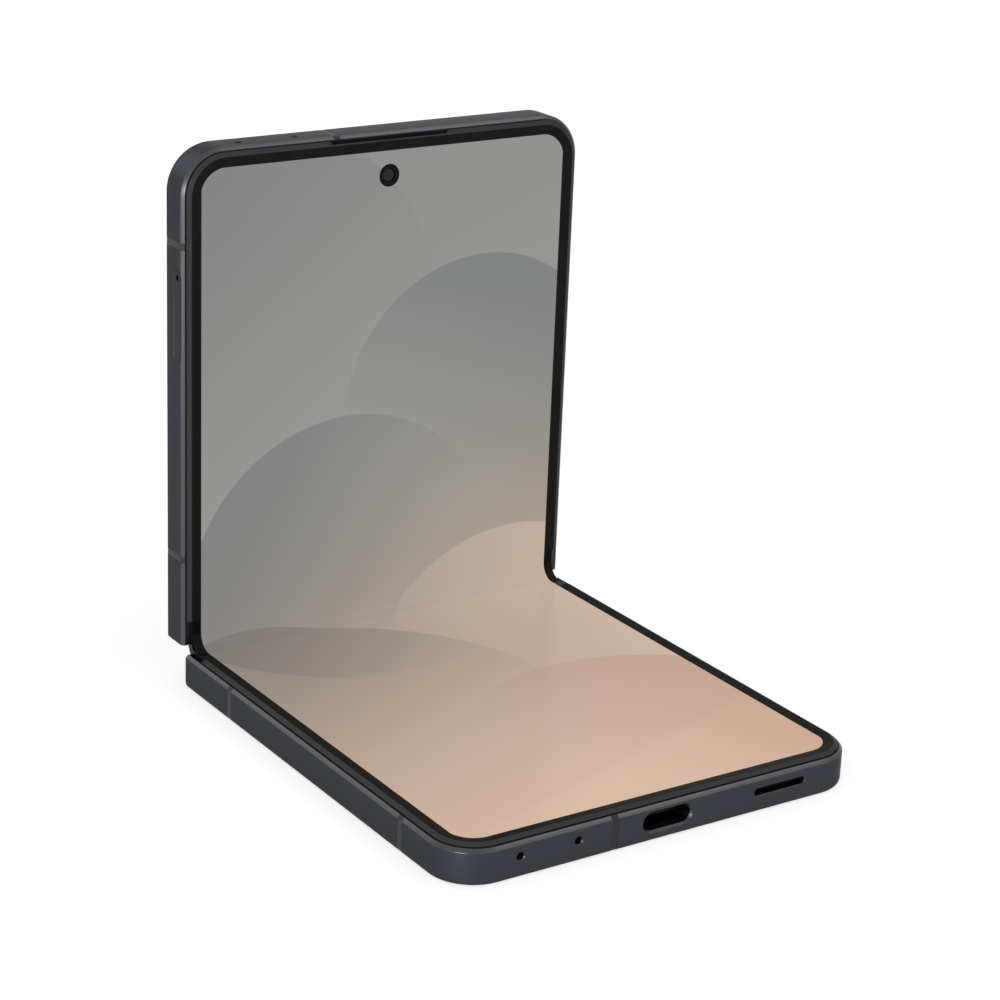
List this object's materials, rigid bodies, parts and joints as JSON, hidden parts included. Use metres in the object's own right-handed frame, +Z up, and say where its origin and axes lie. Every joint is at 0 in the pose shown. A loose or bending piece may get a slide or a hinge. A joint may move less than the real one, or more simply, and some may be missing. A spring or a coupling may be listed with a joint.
{
  "type": "foldable smartphone",
  "caption": "Clamshell smartphone with a folding inner screen on a geared hinge, standing open at a right angle; keys press and the card tray slides out.",
  "frame": {"origin": "middle of the underside of the lower half, on the back glass's outer face", "axes": "+Z up from the rest face, +X across the phone to the user's right, +Y from the socket end towards the hinge"},
  "size_m": [0.0756, 0.0911, 0.0902],
  "materials": {
    "frame": "anodised, satin",
    "cover_bar": "anodised, satin",
    "back_glass": "matt-etched, opaque",
    "cover_glass": "polished, black behind",
    "screen_cover": "folding screen, lit",
    "trim": "fine matt",
    "edge_film": "soft, matt",
    "plate": "rolled sheet",
    "glue": "adhesive foam",
    "battery": "foil pouch",
    "board": "solder mask",
    "socket": "drawn sheet",
    "tongue": "moulded",
    "module_black": "moulded",
    "can": "pressed sheet",
    "mic": "gold plate",
    "coil": "enamelled copper",
    "antenna": "moulded",
    "hinge_steel": "sintered",
    "spring_steel": "wire",
    "screw": "zinc plate",
    "cap": "moulded",
    "gear": "cut",
    "ring": "turned, anodised",
    "lens": "polished, coated",
    "flash": "diffuse window",
    "key": "anodised, satin",
    "tray": "anodised, satin",
    "flex": "polyimide"
  },
  "bodies": {
    "base": {"base_frame": "frame", "base_back_glass": "back_glass", "base_screen_trim": "trim", "base_mid_plate": "plate", "base_support_wing": "plate", "display_lower_panel": "screen_cover", "battery_lower": "battery", "sub_board": "board", "usb_c_shell": "socket", "usb_c_tongue": "tongue", "loudspeaker": "module_black", "base_microphones": "mic", "vibration_motor": "can", "base_antenna_breaks": "antenna", "base_hinge_brackets": "hinge_steel", "base_hinge_screws": "screw", "base_glass_seal": "glue", "charge_coil": "coil"},
    "hinge": {"hinge_cover": "cover_bar", "hinge_rail_blocks": "hinge_steel", "hinge_end_caps": "cap", "hinge_spring_anchor": "hinge_steel", "detent_springs": "spring_steel", "hinge_screws": "screw", "display_fold_strip": "screen_cover", "fold_edge_strips": "edge_film"},
    "idler_base": {"idler_gears_base": "gear"},
    "idler_lid": {"idler_gears_lid": "gear"},
    "lid": {"lid_frame": "frame", "lid_cover_glass": "cover_glass", "cover_screen": "module_black", "lid_screen_trim": "trim", "lid_mid_plate": "plate", "lid_support_wing": "plate", "display_upper_panel": "screen_cover", "main_board": "board", "board_shields": "can", "battery_upper": "battery", "front_camera": "module_black", "rear_cameras": "module_black", "camera_rings": "ring", "camera_glasses": "lens", "flash_window": "flash", "lid_microphones": "mic", "earpiece": "module_black", "sim_cage": "can", "key_switches": "flex", "lid_antenna_breaks": "antenna", "lid_hinge_brackets": "hinge_steel", "lid_hinge_screws": "screw", "lid_glass_seal": "glue"},
    "volume_key": {"volume_key": "key"},
    "power_key": {"power_key": "key"},
    "sim_tray": {"sim_tray": "tray"}
  },
  "joints": [
    {"name": "lid_turn", "type": "hinge", "parent": "base", "child": "lid", "pos_m": [0, 0.04167, 0.00685], "axis": [1, 0, 0], "range_deg": [-90, 90]},
    {"name": "hinge_turn", "type": "hinge", "parent": "base", "child": "hinge", "pos_m": [0, 0.04167, 0.00685], "axis": [1, 0, 0], "range_deg": [-45, 45], "deforming": ["display_fold_strip", "fold_edge_strips"]},
    {"name": "idler_base_spin", "type": "hinge", "parent": "hinge", "child": "idler_base", "pos_m": [0, 0.04264, 0.00433], "axis": [1, 0, 0], "range_deg": [-156, 156]},
    {"name": "idler_lid_spin", "type": "hinge", "parent": "hinge", "child": "idler_lid", "pos_m": [0, 0.0442, 0.00588], "axis": [1, 0, 0], "range_deg": [-156, 156]},
    {"name": "volume_press", "type": "slide", "parent": "lid", "child": "volume_key", "axis": [-1, 0, 0], "range_m": [0, 0.00025], "stiffness_N_per_m": 6000, "springref_m": -0.0001},
    {"name": "power_press", "type": "slide", "parent": "lid", "child": "power_key", "axis": [-1, 0, 0], "range_m": [0, 0.00025], "stiffness_N_per_m": 6000, "springref_m": -0.0001},
    {"name": "tray_slide", "type": "slide", "parent": "lid", "child": "sim_tray", "axis": [-1, 0, 0], "range_m": [0, 0.016]}
  ],
  "couplings": [
    {"joint": "hinge_turn", "follows": "lid_turn", "ratio": 0.5},
    {"joint": "idler_base_spin", "follows": "lid_turn", "ratio": -1.7273},
    {"joint": "idler_lid_spin", "follows": "lid_turn", "ratio": 1.7273}
  ]
}
